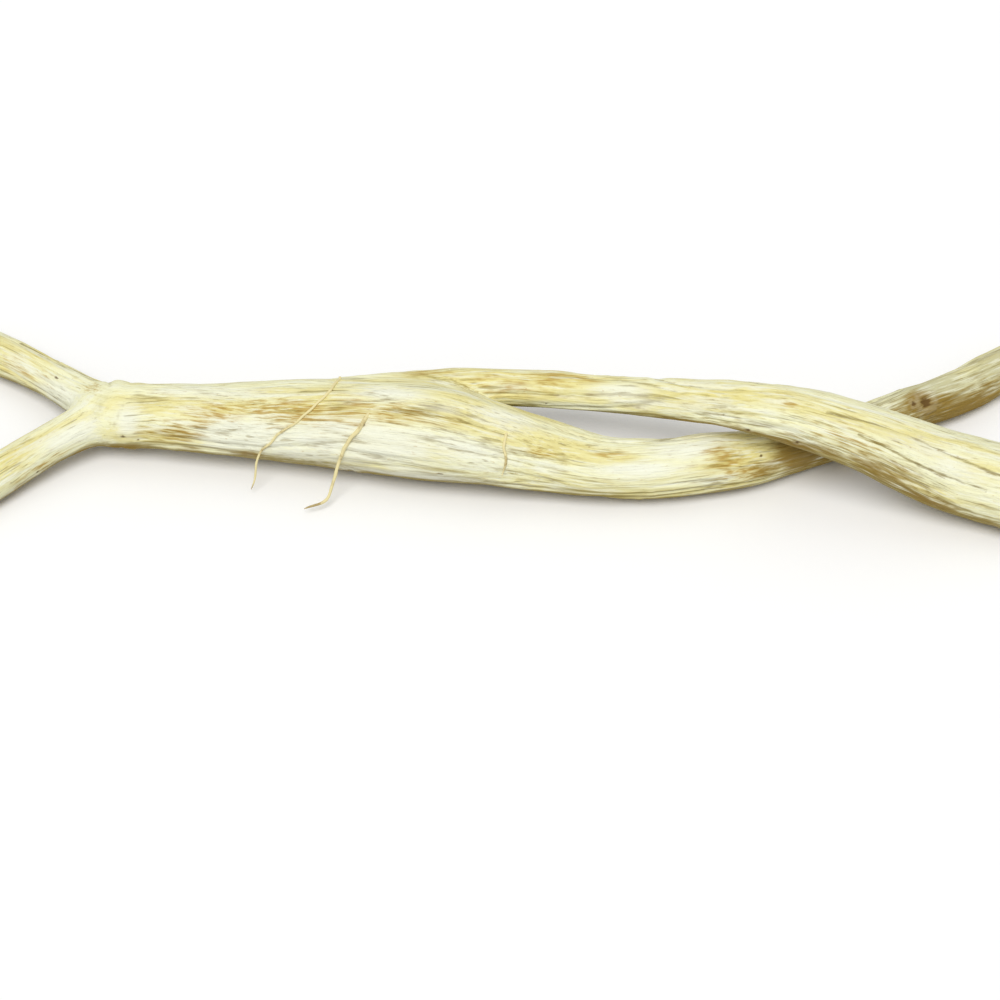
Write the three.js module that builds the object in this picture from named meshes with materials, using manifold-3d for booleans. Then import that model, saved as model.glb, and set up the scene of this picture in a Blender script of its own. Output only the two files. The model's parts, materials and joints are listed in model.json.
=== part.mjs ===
// A forked astragalus root, dried and lying on a flat surface.
//
// It grew as one piece, so it is one solid. A stout main root runs along X. At its -X end it
// forks into two arms. Near its middle a branch leaves its upper side, rises, and crosses over
// the thin end of the main root without touching it. Three hair roots cling to the front of the
// main root, and two of them droop to the surface. All four tips are cut square.
//
// Units are millimetres. +X runs along the root, +Y away from its front, +Z up. The origin is the
// centre of the bounding box at the surface that the root lies on.

import * as THREE from "three";
import { mergeVertices } from "three/addons/utils/BufferGeometryUtils.js";
import Module from "manifold-3d";

const wasm = await Module();
wasm.setup();

// ---- Driving dimensions ----

const STEP_LENGTH = 5; // distance between two rings of a limb
const LIMB_SIDES = 20;
const HAIR_SIDES = 6;
const HAIR_STEP_LENGTH = 3;
const HAIR_RADIUS = 0.75;
const WELD_DISTANCE = 1e-4; // vertices closer than this are one

// Furrows that run along a limb: how many ridges go round it, how deep they are as a share of
// the radius, and where the first ridge stands, in radians.
const FURROWS = [
  { ridges: 3, depth: 0.035, start: 0.6 },
  { ridges: 7, depth: 0.025, start: 2.1 },
];

// Each limb is a list of stations: the centre x, y, z and the radius of the root there.
const LIMBS = {
  mainRoot: [
    [-124, -0.5, 12.8, 9.4],
    [-109, -2.5, 13.6, 10.6],
    [-89, -5, 14.6, 11.7],
    [-66, -7, 15.5, 13.4],
    [-44, -9.5, 16.3, 15],
    [-22, -13, 16.6, 15.8],
    [-2, -17, 14.8, 13.6],
    [15, -20, 12.4, 11.5],
    [32, -23, 10.9, 9.9],
    [49, -23, 10.3, 9.6],
    [66, -20.5, 9.9, 9.7],
    [82, -17, 8.9, 8.6],
    [98, -10, 8, 7.8],
    [115, -2.5, 7.5, 7.3],
    [132, 6.3, 7.4, 7.1],
    [149, 14.8, 7.5, 7.4],
    [166, 26.5, 7.1, 7.2],
    [185, 39.4, 6.3, 6.6],
  ],
  upperBranch: [
    [-48, -3, 18, 8],
    [-34, 0.5, 19.5, 7.4],
    [-16, 2.5, 20.6, 6.7],
    [0, 3, 21, 6.1],
    [16, 2, 21.3, 6.1],
    [32, -0.8, 21.9, 6],
    [48, -5.2, 24.2, 6.2],
    [64, -10.5, 27.2, 7],
    [80, -15.9, 29.7, 8.2],
    [95, -20.1, 29.6, 9.3],
    [110, -24.3, 26.9, 10.4],
    [126, -27.1, 21.1, 11.6],
    [142, -30, 15.9, 12.7],
    [158, -34, 13.2, 13.1],
    [176, -40, 12.1, 12.5],
  ],
  backArm: [
    [-124, -0.5, 12.8, 8.6],
    [-135, 8, 11.6, 7.2],
    [-149, 21, 9.6, 6.5],
    [-167, 34, 7.8, 6.9],
    [-185, 45.9, 6.3, 6.6],
  ],
  frontArm: [
    [-124, -0.5, 12.8, 8.6],
    [-134, -5, 11.5, 7.2],
    [-146, -12.5, 9.4, 6.4],
    [-160, -24, 7.6, 6.9],
    [-176, -38, 6.2, 6.5],
  ],
};

// The swollen collar where the main root forks into the arms.
const COLLAR = {
  centre: [-122, -0.8, 12.8],
  radii: [10.5, 10, 9.8],
  sides: 24,
  rings: 16,
};

// The block of ground that is cut away from under the root.
const GROUND = { length: 600, width: 300, depth: 20 };

// Each hair root is a list of points along its centre.
const HAIRS = [
  [
    [-51.5, 1, 28.6],
    [-52.2, -4.5, 30.3],
    [-54.2, -9.3, 30.9],
    [-58, -13.5, 29.6],
    [-63, -16.3, 27.1],
    [-67.5, -18.6, 23.6],
    [-72, -19.8, 19.2],
    [-75.8, -19.9, 14.2],
    [-78, -20.8, 10.2],
    [-79.2, -22.6, 6],
    [-79.8, -24.8, 2.2],
  ],
  [
    [-40.5, -17, 29.2],
    [-43, -20.2, 27.8],
    [-46.5, -23, 23.7],
    [-49.5, -24, 18],
    [-51.3, -24.3, 13.2],
    [-52.7, -26.8, 8.6],
    [-54.2, -29.6, 5.4],
    [-57.3, -31.7, 3.4],
    [-62.2, -33.6, 2.2],
  ],
  [
    [3.4, -22.6, 26.4],
    [1.9, -25.8, 25.4],
    [0.9, -28.4, 22.7],
    [1.5, -30.4, 19.2],
    [0.4, -31, 14.8],
  ],
];

// ---- Building the shapes ----

const centreOf = ([x, y, z]) => new THREE.Vector3(x, y, z);

// A round section one millimetre in radius, with the furrows pressed into it.
function furrowedSection(sides) {
  const points = Array.from({ length: sides }, (_, i) => {
    const angle = (2 * Math.PI * i) / sides;
    const ripple = FURROWS.reduce(
      (sum, furrow) =>
        sum + furrow.depth * Math.cos(furrow.ridges * angle + furrow.start),
      1,
    );
    return new THREE.Vector2(ripple * Math.cos(angle), ripple * Math.sin(angle));
  });
  return new THREE.Shape(points);
}

function plainSection(sides) {
  const points = Array.from({ length: sides }, (_, i) => {
    const angle = (2 * Math.PI * i) / sides;
    return new THREE.Vector2(Math.cos(angle), Math.sin(angle));
  });
  return new THREE.Shape(points);
}

// Sweeps a section of unit radius along the stations, then scales each ring to its own radius.
function taperedTube(centres, radii, section, stepLength) {
  const path = new THREE.CatmullRomCurve3(centres, false, "catmullrom");
  const swelling = new THREE.CatmullRomCurve3(
    radii.map((radius) => new THREE.Vector3(radius, 0, 0)),
    false,
    "catmullrom",
  );
  const steps = Math.ceil(path.getLength() / stepLength);
  const tube = new THREE.ExtrudeGeometry(section, {
    steps,
    extrudePath: path,
  });
  const rings = path.getSpacedPoints(steps).map((centre, i) => ({
    centre,
    radius: swelling.getPoint(path.getUtoTmapping(i / steps)).x,
  }));
  const position = tube.getAttribute("position");
  const point = new THREE.Vector3();
  for (let i = 0; i < position.count; i++) {
    point.fromBufferAttribute(position, i);
    const ring = rings.reduce((nearest, candidate) =>
      candidate.centre.distanceToSquared(point) <
      nearest.centre.distanceToSquared(point)
        ? candidate
        : nearest,
    );
    point.sub(ring.centre).multiplyScalar(ring.radius).add(ring.centre);
    position.setXYZ(i, point.x, point.y, point.z);
  }
  return tube;
}

// The closed solid inside a geometry whose faces meet edge to edge.
function solidFrom(geometry) {
  const bare = new THREE.BufferGeometry();
  bare.setAttribute("position", geometry.getAttribute("position"));
  bare.setIndex(geometry.getIndex());
  const merged = mergeVertices(bare, WELD_DISTANCE);
  return new wasm.Manifold(
    new wasm.Mesh({
      numProp: 3,
      vertProperties: new Float32Array(merged.getAttribute("position").array),
      triVerts: new Uint32Array(merged.getIndex().array),
    }),
  );
}

function geometryFrom(solid) {
  const mesh = solid.getMesh();
  const geometry = new THREE.BufferGeometry();
  geometry.setAttribute(
    "position",
    new THREE.BufferAttribute(mesh.vertProperties, mesh.numProp),
  );
  geometry.setIndex(new THREE.BufferAttribute(mesh.triVerts, 1));
  geometry.computeVertexNormals();
  return geometry;
}

function limbSolid(stations) {
  return solidFrom(
    taperedTube(
      stations.map(centreOf),
      stations.map((station) => station[3]),
      furrowedSection(LIMB_SIDES),
      STEP_LENGTH,
    ),
  );
}

function hairSolid(points) {
  return solidFrom(
    taperedTube(
      points.map(centreOf),
      points.map(() => HAIR_RADIUS),
      plainSection(HAIR_SIDES),
      HAIR_STEP_LENGTH,
    ),
  );
}

function collarSolid() {
  const collar = new THREE.SphereGeometry(1, COLLAR.sides, COLLAR.rings);
  collar.scale(...COLLAR.radii);
  collar.translate(...COLLAR.centre);
  return solidFrom(collar);
}

// Its top is the surface that the root lies on, so cutting it away leaves the small flats on
// which the root rests.
function groundSolid() {
  const { length, width, depth } = GROUND;
  const ground = new THREE.BoxGeometry(length, width, depth);
  ground.translate(0, 0, -depth / 2);
  return solidFrom(ground);
}

function rootGeometry() {
  const pieces = [
    ...Object.values(LIMBS).map(limbSolid),
    collarSolid(),
    ...HAIRS.map(hairSolid),
  ];
  const grown = pieces.reduce((whole, piece) => whole.add(piece));
  const geometry = geometryFrom(grown.subtract(groundSolid()));
  geometry.computeBoundingBox();
  const middle = geometry.boundingBox.getCenter(new THREE.Vector3());
  geometry.translate(-middle.x, -middle.y, 0);
  return geometry;
}

const bark = new THREE.MeshStandardMaterial({
  color: 0xe9dcae,
  roughness: 0.8,
  metalness: 0,
});

const astragalusRoot = new THREE.Mesh(rootGeometry(), bark);
astragalusRoot.name = "astragalus_root";

const part = new THREE.Group();
part.add(astragalusRoot);

export default part;
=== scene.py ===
"""A dried, forked astragalus root lying on a pale floor: its bark, its cut tips and its hair roots.

The limbs are tubes swept along smooth centre lines. They are joined and their junctions are
rounded. The joined skin is then wrinkled, scarred and stained along the grain.
"""

import itertools
import json
import math
from dataclasses import dataclass

import bmesh
import bpy
import numpy as np
from bpy.props import FloatProperty, FloatVectorProperty, IntProperty, PointerProperty
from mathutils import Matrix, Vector
from mathutils.bvhtree import BVHTree

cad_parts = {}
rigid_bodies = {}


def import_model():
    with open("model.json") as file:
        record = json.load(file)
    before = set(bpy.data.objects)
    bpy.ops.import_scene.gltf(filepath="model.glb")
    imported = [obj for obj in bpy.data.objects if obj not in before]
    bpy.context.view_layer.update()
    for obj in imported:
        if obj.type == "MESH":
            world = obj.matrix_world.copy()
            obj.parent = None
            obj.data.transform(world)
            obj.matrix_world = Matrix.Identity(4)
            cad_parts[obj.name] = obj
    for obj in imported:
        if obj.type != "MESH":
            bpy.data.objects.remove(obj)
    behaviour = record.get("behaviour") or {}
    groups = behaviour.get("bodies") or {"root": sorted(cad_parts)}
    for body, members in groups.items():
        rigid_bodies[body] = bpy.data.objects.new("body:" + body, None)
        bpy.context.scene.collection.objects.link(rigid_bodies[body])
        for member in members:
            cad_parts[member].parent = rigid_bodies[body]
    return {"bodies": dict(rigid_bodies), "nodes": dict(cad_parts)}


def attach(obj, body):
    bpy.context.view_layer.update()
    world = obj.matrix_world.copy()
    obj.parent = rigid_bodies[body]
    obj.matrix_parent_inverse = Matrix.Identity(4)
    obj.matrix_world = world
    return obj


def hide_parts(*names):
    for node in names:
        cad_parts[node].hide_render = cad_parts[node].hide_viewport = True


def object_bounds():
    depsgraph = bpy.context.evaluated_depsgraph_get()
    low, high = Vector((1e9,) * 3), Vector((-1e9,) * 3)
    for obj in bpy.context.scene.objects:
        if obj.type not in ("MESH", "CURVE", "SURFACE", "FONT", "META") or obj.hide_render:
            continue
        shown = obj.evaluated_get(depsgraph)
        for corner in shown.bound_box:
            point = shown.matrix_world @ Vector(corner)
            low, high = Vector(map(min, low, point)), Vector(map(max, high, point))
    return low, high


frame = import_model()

bl_info = {
    "name": "Astragalus Root",
    "version": (1, 0, 0),
    "blender": (4, 5, 0),
    "location": "3D View > Sidebar > Astragalus Root",
    "description": "Builds a dried astragalus root, its hair roots and a stage for it",
    "category": "Mesh",
}

CAD_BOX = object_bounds()
# The root is the one node of the frame, and rides on its one body.
[CAD_NODE] = frame["nodes"]
[BODY] = frame["bodies"]

MM = 0.001
UP = np.array([0.0, 0.0, 1.0])
TINY = 1e-6  # keeps lengths that are divided by away from zero

# ---- The limbs, in millimetres ----

# Each limb is a list of stations: the centre x, y, z and the radius of the root there.
MAIN_ROOT = [
    (-124, -0.5, 12.8, 9.4),
    (-109, -2.5, 13.6, 10.6),
    (-89, -5, 14.6, 11.7),
    (-66, -7, 15.5, 13.4),
    (-44, -9.5, 16.3, 15),
    (-22, -13, 16.6, 15.8),
    (-2, -17, 14.8, 13.6),
    (15, -20, 12.4, 11.5),
    (32, -23, 10.9, 9.9),
    (49, -23, 10.3, 9.6),
    (66, -20.5, 9.9, 9.7),
    (82, -17, 8.9, 8.6),
    (98, -10, 8, 7.8),
    (115, -2.5, 7.5, 7.3),
    (132, 6.3, 7.4, 7.1),
    (149, 14.8, 7.5, 7.4),
    (166, 26.5, 7.1, 7.2),
    (185, 39.4, 6.3, 6.6),
]
UPPER_BRANCH = [
    (-48, -3, 18, 8),
    (-34, 0.5, 19.5, 7.4),
    (-16, 2.5, 20.6, 6.7),
    (0, 3, 21, 6.1),
    (16, 2, 21.3, 6.1),
    (32, -0.8, 21.9, 6),
    (48, -5.2, 24.2, 6.2),
    (64, -10.5, 27.2, 7),
    (80, -15.9, 29.7, 8.2),
    (95, -20.1, 29.6, 9.3),
    (110, -24.3, 26.9, 10.4),
    (126, -27.1, 21.1, 11.6),
    (142, -30, 15.9, 12.7),
    (158, -34, 13.2, 13.1),
    (176, -40, 12.1, 12.5),
]
BACK_ARM = [
    (-185, 45.9, 6.3, 6.6),
    (-167, 34, 7.8, 6.9),
    (-149, 21, 9.6, 6.5),
    (-135, 8, 11.6, 7.2),
]
FRONT_ARM = [
    (-124, -0.5, 12.8, 8.6),
    (-134, -5, 11.5, 7.2),
    (-146, -12.5, 9.4, 6.4),
    (-160, -24, 7.6, 6.9),
    (-176, -38, 6.2, 6.5),
]

# The back arm and the main root are one limb from tip to tip, and the others grow from it. Each
# limb gives its stations, how many sides its tube has, and whether it starts at a cut tip.
LIMBS = {
    "spine": (BACK_ARM + MAIN_ROOT, 140, True),
    "branch": (UPPER_BRANCH, 112, False),
    "arm": (FRONT_ARM, 84, False),
}

# The grain of a grafted limb starts this far on, so that its pattern isn't that of the spine.
BRANCH_GRAIN_START = 700.0
ARM_GRAIN_START = 1300.0

# Each hair root is the list of points that it passes, its radius where it leaves the bark and
# the radius at its tip.
HAIR_ROOTS = [
    (
        [
            (-51.5, 1, 28.6),
            (-52.2, -4.5, 30.3),
            (-54.2, -9.3, 30.9),
            (-58, -13.5, 29.6),
            (-63, -16.3, 27.1),
            (-67.5, -18.6, 23.6),
            (-72, -19.8, 19.2),
            (-75.8, -19.9, 14.2),
            (-78, -20.8, 10.2),
            (-79.2, -22.6, 6),
            (-79.8, -24.8, 2.2),
        ],
        0.45,
        0.34,
    ),
    (
        [
            (-40.5, -17, 29.2),
            (-43, -20.2, 27.8),
            (-46.5, -23, 23.7),
            (-49.5, -24, 18),
            (-51.3, -24.3, 13.2),
            (-52.7, -26.8, 8.6),
            (-54.2, -29.6, 5.4),
            (-57.3, -31.7, 3.4),
            (-62.2, -33.6, 2.2),
        ],
        0.68,
        0.42,
    ),
    (
        [
            (3.4, -22.6, 26.4),
            (1.9, -25.8, 25.4),
            (0.9, -28.4, 22.7),
            (1.5, -30.4, 19.2),
            (0.4, -31, 14.8),
        ],
        0.5,
        0.36,
    ),
]

# ---- Marks on the bark ----

# A mark lies on a limb at x, at an angle round it: 90 is the top, and 0 is the front side of the
# spine and the branch and the back side of the arm. A patch then gives its length, width and
# strength.
PATCHES = {
    "golden": {
        "spine": [
            (-95, 62, 30, 5, 0.9), (-62, 66, 26, 4.5, 0.8), (82, 60, 14, 7, 0.9),
            (20, 10, 26, 4, 0.6), (-160, 60, 22, 5, 0.7),
        ],
        "branch": [
            (-12, 78, 24, 6, 1), (24, 84, 20, 4, 0.9), (62, 62, 26, 5, 0.8),
            (110, 80, 30, 5, 0.6),
        ],
        "arm": [(-158, 110, 18, 4, 0.8)],
    },
    "stain": {
        "spine": [
            (-62, 57, 13, 4.5, 1), (-47, 61, 11, 4.5, 1), (-31, 60, 11, 3.5, 0.95),
            (-16, 62, 7, 2.5, 0.5), (-104, 14, 10, 3.5, 1), (-94, 40, 8, 3, 0.6),
            (-90, 56, 9, 3.5, 0.8), (-76, 62, 8, 3, 0.7), (70, 54, 6, 4.5, 1.1),
            (76, 18, 9, 3, 0.9), (135, 72, 5, 4, 0.5), (14, 47, 6, 1.8, 0.7),
            (35, 68, 7, 1.8, 0.7), (-130, 85, 5, 3, 0.6), (-154, 33, 13, 3, 0.45),
        ],
        "branch": [
            (-25, 104, 9, 3, 0.9), (16, 84, 8, 3, 0.85), (27, 94, 7, 2.4, 0.75),
            (0, 46, 22, 5, 0.5), (91, 63, 3, 1.1, 1), (108, 30, 16, 4, 0.5),
        ],
        "arm": [(-150, 175, 14, 2, 0.5)],
    },
    # Rubbed pale places, and painted highlights: the broad pale patches along the front and the
    # lower edge of the main root, and on the back arm's lower side, stand in for light falling
    # there.
    "scuff": {
        "spine": [
            (-80, 18, 22, 6, 1.3), (-44, 22, 28, 7, 1.3), (-58, -4, 24, 4, 0.9),
            (-8, 30, 18, 5, 0.8), (-36, 88, 14, 4, 0.8), (0, 87, 13, 4, 0.8),
            (-118, 34, 4.5, 6, 0.9), (-138, 30, 11, 3.5, 1.1), (58, 76, 12, 4, 0.9),
            (44, 41, 16, 3, 0.9), (-88, 88, 26, 3, 0.6), (-28, -24, 32, 2.6, 0.9),
            (-48, -33, 6, 2.6, 0.9), (-46, 72, 6, 2, 0.8), (-18, 76, 10, 1.8, 0.8),
            (-45, 24, 8, 3, 1.2), (-141, 8, 10, 3, 1.1),
        ],
        "branch": [
            (3, 43, 8, 1.8, 0.8), (22, -6, 20, 1.6, 0.8), (40, 53, 12, 3, 0.9),
            (46, 24, 12, 3, 0.7), (128, 62, 16, 4, 0.6), (142, 40, 14, 5, 0.6),
        ],
        "arm": [(-138, 140, 13, 3, 1.1)],
    },
    # Brown patches: a few are soil stains, such as the knob on the thin end. Most are painted
    # shade: under the crossing branch, along the lower sides of the branch, the arm and the main
    # root, and at the thin end.
    "soil": {
        "spine": [
            (94, 38, 11, 10, 1.2), (84, 16, 10, 4, 0.7), (99, 75, 12, 10, 1.1),
            (104, 30, 12, 10, 1.1), (135, 56, 6, 4.5, 1.3), (140, 30, 10, 5, 1),
            (-104, 14, 12, 3, 0.6), (-98, -20, 6, 2.5, 0.6), (-79, -19, 6, 2.5, 0.8),
            (-47, -40, 12, 3, 0.5), (-120, -32, 9, 2.5, 0.85), (122, 12, 16, 8, 1.1),
            (148, -4, 26, 7, 1),
        ],
        "branch": [
            (58, -28, 12, 2.5, 0.8), (76, -28, 14, 2.5, 0.9), (94, -26, 12, 2.5, 0.9),
            (104, -10, 14, 4, 0.7), (122, -4, 18, 6, 0.8), (138, -22, 12, 4, 0.9),
            (160, -26, 16, 4, 0.5),
        ],
        "arm": [(-138, 218, 7, 3, 0.6), (-146, 220, 9, 2.6, 0.5), (-160, 220, 13, 2.6, 0.5)],
    },
    # Painted shade: a duller, greyer tone where the thin end and a band at the collar are shaded.
    "dull": {
        "spine": [
            (-125, 50, 2.5, 10, 0.45), (118, 60, 12, 12, 0.8), (140, 60, 22, 14, 1),
            (165, 60, 26, 14, 0.9),
        ],
    },
}

# A scar gives its radius.
SCARS = {
    "spine": [
        (-41.5, 44, 0.9), (-142, 60, 0.8), (-16, -12, 0.9), (136.5, 54, 2.5), (132.5, 60, 1.1),
        (-123, -8, 1.4), (-119.5, 4, 1.6), (-115.5, -4, 0.9), (-47, -43, 2.2), (-148, 145, 1),
    ],
    "branch": [(80, -15, 0.9)],
}

# A crack is a list of x and angle.
CRACKS = {
    "spine": [
        [(-160, 118), (-152, 123), (-148, 132), (-142, 134), (-134, 130), (-127, 118), (-120, 105)],
    ],
    "branch": [
        [(101, 66), (109, 69), (121, 74), (136, 66), (151, 59), (165, 56)],
        [(111, 44), (117, 41), (133, 33), (153, 30)],
    ],
}

# ---- Junctions of the limbs, in millimetres ----

FORK_END = -90.0  # the front arm is grafted on this side of it, and the branch on the other
FORK_ZONE = (-150.0, -104.0)
BRANCH_ZONE = (-62.0, 14.0)
SLIVER = 0.05  # edges shorter than this are closed up there
CROTCH_FADE = (-22.0, 2.0)  # the branch's rounding grows sharper over this stretch
CROTCH_ROUNDING = 1.0
SEAM_BLEND = 0.05  # points on a seam have at least this blend
ROUNDING_PASSES = 4
FORK_CREASE = 2.4  # how strongly the crease of the fork is darkened
BRANCH_CREASE = 4.0
BRANCH_CREASE_START = (-42.0, -24.0)  # the crease of the branch darkens over this stretch
COLLAR_CENTRE = np.array([-121.0, -1.0, 12.8])
COLLAR_REACH = 11.0
CROTCH = np.array([-140.0, 2.0])  # where the arms part, as x and y
COLLAR_RINGS = (17.5, 24.0)  # distances of the collar's ridges from there
COLLAR_RING_WIDTH = 1.9
COLLAR_FOLD_WIDTH = 0.9
COLLAR_RING_WANDER = 1.2
COLLAR_RING_FADE = (-133.0, -126.0)  # the ridges come up over this stretch
COLLAR_RING_FAINTEST = 0.25  # the least share of a ridge's height on the collar itself

# ---- The bark's patterns, in millimetres ----

# Each pattern gives its size along the grain, its size across it, and the seed of its noise.
PATTERNS = {
    "wander sideways": (34.0, 15.0, 11),
    "wander upwards": (34.0, 15.0, 12),
    "lumps": (26.0, 9.0, 13),
    "furrow cover": (42.0, 13.0, 14),
    "furrows": (52.0, 4.4, 15),
    "knuckle cover": (24.0, 11.0, 16),
    "knuckles": (3.0, 7.5, 17),
    "wrinkles": (12.0, 1.8, 18),
    "ring wander": (24.0, 11.0, 19),
    "ring cover": (24.0, 11.0, 20),
    "cut grain": (3.0, 1.3, 22),
    "ragged scars": (1.8, 0.9, 23),
}

# The noise values at which a cover starts to show what it covers, and at which it shows it whole.
FURROW_COVER = (-0.35, 0.25)
KNUCKLE_COVER = (0.0, 0.5)
RING_COVER = (-0.3, 0.3)

WANDER_REACH = 1.6
FURROW_WIDTH = 0.32  # furrows lie where their noise is this close to zero
KNUCKLE_RISE = (0.1, 0.6)  # a knuckle rises between these values of its noise

SCAR_SPACING = 21.0  # there is one small scar to this length of limb
SCAR_RADII = (0.5, 0.95)
SCAR_RAGGEDNESS = 0.45
CRACK_STEP = 0.4
CRACK_WIDTH = 0.8
CRACK_DEPTH = 0.45

# These are shares of a scar's radius.
SCAR_PIT = 0.75
SCAR_DEPTH = 0.3
SCAR_RIM = 1.25
SCAR_RIM_WIDTH = 0.45
SCAR_RIM_HEIGHT = 0.15

CUT_REACH = 1.3  # a cut face lies within this many radii of the middle of its tip
CUT_START = (-0.3, -0.03)  # bark passes to cut face between these distances from its plane
CUT_GRAIN_HEIGHT = 0.18
CORE_EDGE = (0.85, 0.2)  # the core sinks from the first to the second share of the radius
CORE_DEPTH = 0.5
RAY_HEIGHT = 0.22
RAY_SPREAD = (1.2, 4.5)  # how fast the rays of the wood change outwards, and around
RAY_SEED = 21

# ---- Hair roots, in millimetres ----

HAIR_WAVES = ((6.5, 1.0), (2.4, 0.45))  # length of each wave, and its share of the waviness
HAIR_WAVE_SEED = 30
HAIR_KNOT_LENGTH = 3.0
HAIR_KNOT_SWELLING = 0.22
HAIR_KNOT_SEED = 40
HAIR_LIFTS = (-1.5, 0.7)  # height over the bark at the start and further on, in its own radii
HAIR_SINK = 4.0  # a hair root comes out of the bark over this distance
HAIR_TIP = 4.0  # and grows thin over this distance
HAIR_TIP_SHARE = 0.1  # the share of its section that is left at the tip
HAIR_SMOOTHING = 7  # how many points in a row are averaged once it lies on the bark

# ---- Fineness of the meshes and of the noise ----

SPAN_SAMPLES = 60
SAMPLE_STEP = 0.5
RING_STEP = 1.0
EDGE_RINGS = 4
FACE_RINGS = 12
SEARCH_BLOCK = 4096
HAIR_SIDES = 10
HAIR_STEP = 0.5
NOISE_CELLS = 256  # the noise repeats after so many cells, a power of two
NOISE_GAIN = 1.5

# ---- Sockets and camera ----

# The sockets of a Mix node that mixes colours.
MIX_SHARE = 0
MIX_FIRST = 6
MIX_SECOND = 7
MIX_RESULT = 2

SENSOR_WIDTH = 36  # in millimetres
SIGHT_END = 20  # how far the camera sees, in metres


def linear(*levels):
    """A colour given as levels from 0 to 255, in the scene's linear values."""
    shares = [level / 255 for level in levels]
    return tuple(s / 12.92 if s <= 0.04045 else ((s + 0.055) / 1.055) ** 2.4 for s in shares)


# ---- What a user can change ----


def length_property(name, description, default, low=0.0):
    return FloatProperty(
        name=name,
        description=description,
        default=default,
        min=low,
        subtype="DISTANCE",
        unit="LENGTH",
    )


def angle_property(name, description, degrees, low=0, high=90):
    return FloatProperty(
        name=name,
        description=description,
        default=math.radians(degrees),
        min=math.radians(low),
        max=math.radians(high),
        subtype="ANGLE",
        unit="ROTATION",
    )


def brightness_property(name, description, default):
    return FloatProperty(name=name, description=description, default=default, min=0)


def colour_property(name, description, *levels):
    return FloatVectorProperty(
        name=name,
        description=description,
        default=linear(*levels),
        size=3,
        min=0,
        max=1,
        subtype="COLOR",
    )


class BarkSettings(bpy.types.PropertyGroup):
    """Sizes and colours of the bark."""

    lump_height: length_property("Lump Height", "Height of the broad lumps of the bark", 0.55 * MM)
    furrow_depth: length_property("Furrow Depth", "Depth of the long furrows", 0.6 * MM)
    wrinkle_height: length_property(
        "Wrinkle Height", "Height of the fine wrinkles along the grain", 0.24 * MM
    )
    knuckle_height: length_property(
        "Knuckle Height", "Height of the short ridges across the grain", 0.2 * MM
    )
    collar_swelling: length_property(
        "Collar Swelling", "How far the collar at the fork swells", 0.7 * MM
    )
    collar_ridges: length_property(
        "Collar Ridges", "Height of the ridges that ring the collar", 0.5 * MM
    )
    fork_rounding: length_property(
        "Fork Rounding", "Width of the rounded crease between the arms", 5 * MM, 0.1 * MM
    )
    branch_rounding: length_property(
        "Branch Rounding",
        "Width of the rounded crease round the root of the branch",
        5.5 * MM,
        0.1 * MM,
    )
    cut_edge: length_property("Cut Edge", "Radius of the worn edge round each cut tip", 0.4 * MM)
    seed: IntProperty(
        name="Seed",
        description="Start of the random places of the small scars",
        default=4,
        min=0,
    )
    cream: colour_property("Cream", "Colour of most of the bark", 245, 244, 202)
    straw: colour_property("Straw", "Colour of the broad yellow streaks", 235, 224, 148)
    tan: colour_property("Tan", "Colour of fine streaks, freckles and stains", 206, 186, 98)
    rust: colour_property("Rust", "Colour of the darkest streaks of the stains", 182, 142, 58)
    # Ochre darkens the furrows, folds, creases and cracks, and the middle of each cut tip.
    ochre: colour_property(
        "Ochre", "Colour of the soil left in furrows, creases and cracks", 132, 112, 44
    )
    umber: colour_property("Umber", "Colour of scars, and of the splits in a cut tip", 92, 64, 26)
    # Also the colour of the painted highlights.
    chalk: colour_property("Chalk", "Colour of rubbed places and pale lines", 244, 245, 226)
    # Painted shade: the colour the bark darkens towards as it faces down. The fine wrinkles take
    # this colour too.
    painted_underside_shade: colour_property(
        "Underside", "Colour of the bark that faces down, and of fine wrinkles", 150, 130, 58
    )
    wood: colour_property("Wood", "Colour of the core that shows in a cut tip", 240, 216, 118)
    # Soil stains and painted shade: the brown patches are painted in this colour.
    soil: colour_property("Soil", "Colour of the soiled patches of the bark", 144, 114, 30)
    # Painted shade: the greyer tone of the shaded thin end and of a band at the collar.
    dull: colour_property(
        "Dull", "Colour of the weathered bark of the thin end and the collar", 198, 194, 152
    )


class HairSettings(bpy.types.PropertyGroup):
    """Sizes and colours of the hair roots."""

    waviness: length_property(
        "Waviness", "How far a hair root strays from its smooth course", 1.1 * MM
    )
    cling_height: length_property(
        "Cling Height", "A hair root that passes the bark closer than this clings to it", 1.6 * MM
    )
    pale: colour_property("Pale", "Colour of most of a hair root", 234, 221, 166)
    dark: colour_property("Dark", "Colour of the soiled stretches of a hair root", 150, 122, 66)


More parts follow.
